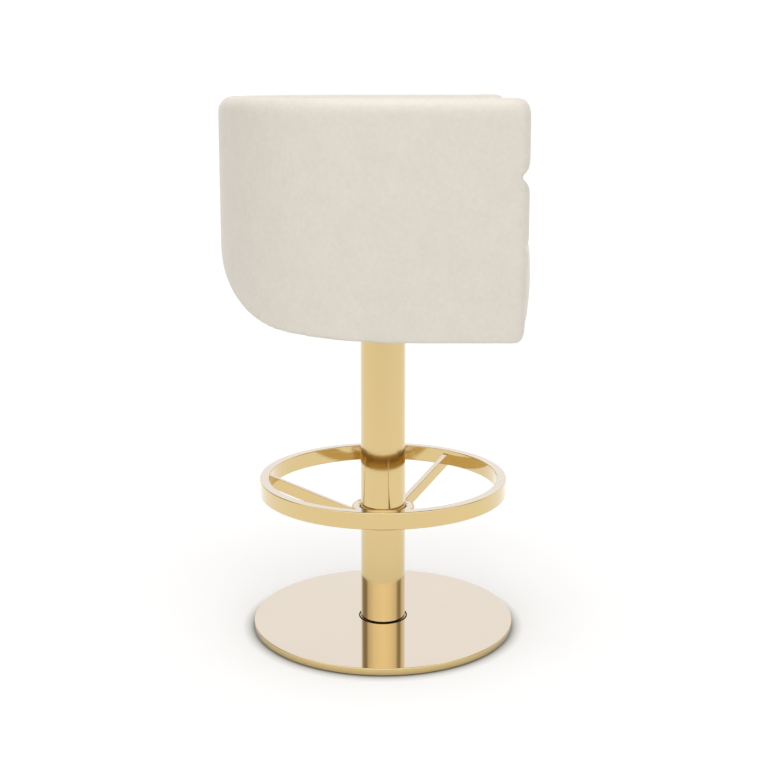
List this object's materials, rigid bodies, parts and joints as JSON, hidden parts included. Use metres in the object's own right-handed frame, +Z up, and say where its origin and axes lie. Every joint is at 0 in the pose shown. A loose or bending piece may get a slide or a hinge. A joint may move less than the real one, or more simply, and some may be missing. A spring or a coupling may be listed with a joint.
{
  "type": "bar stool with footrest",
  "caption": "Bar stool: upholstered tub seat with arms that swivels on a round brass column, with a ring footrest on sloping spokes and a flat round base plate.",
  "frame": {"origin": "on the column's axis, at the underside of the floor pad, where the stool stands", "axes": "+Z up along the column, +X towards the front of the seat, +Y to the sitter's left"},
  "size_m": [0.508, 0.472, 0.913],
  "materials": {
    "polished_brass": "polished",
    "brushed_brass": "brushed",
    "black_rubber": "moulded",
    "cast_iron": "as cast",
    "black_nylon": "moulded",
    "zinc_steel": "zinc plated",
    "machined_steel": "turned",
    "bronze_bush": "turned",
    "plywood": "sanded",
    "velvet": "short pile",
    "seat_foam": "open cell",
    "dust_cloth": "non-woven"
  },
  "bodies": {
    "base": {"floor_pad": "black_rubber", "base_weight": "cast_iron", "base_cover": "polished_brass", "foot_ring": "brushed_brass", "foot_gasket": "black_rubber", "column_tube": "brushed_brass", "column_foot_flange": "machined_steel", "foot_bolts": "zinc_steel", "footrest_hub": "brushed_brass", "hub_liner": "black_nylon", "hub_set_screws": "zinc_steel", "footrest_ring": "brushed_brass", "footrest_spoke_1": "brushed_brass", "footrest_spoke_2": "brushed_brass", "footrest_spoke_3": "brushed_brass", "bearing_housing": "machined_steel", "lower_bush": "bronze_bush", "upper_bush": "bronze_bush", "thrust_race_lower": "machined_steel", "thrust_balls": "machined_steel"},
    "seat": {"thrust_race_upper": "machined_steel", "spindle": "machined_steel", "retaining_ring": "zinc_steel", "swivel_plate": "machined_steel", "plate_bolts": "zinc_steel", "tee_nuts": "zinc_steel", "seat_board": "plywood", "shell_frame": "plywood", "bottom_panel": "plywood", "outer_cover": "velvet", "upper_roll": "velvet", "lower_roll": "velvet", "base_band": "velvet", "seat_deck": "seat_foam", "front_apron": "velvet", "seat_cushion": "velvet", "bottom_cloth": "dust_cloth", "cloth_screws": "zinc_steel"}
  },
  "joints": [
    {"name": "seat_swivel", "type": "hinge", "parent": "base", "child": "seat", "pos_m": [0, 0, 0.5335], "axis": [0, 0, 1], "continuous": true}
  ]
}
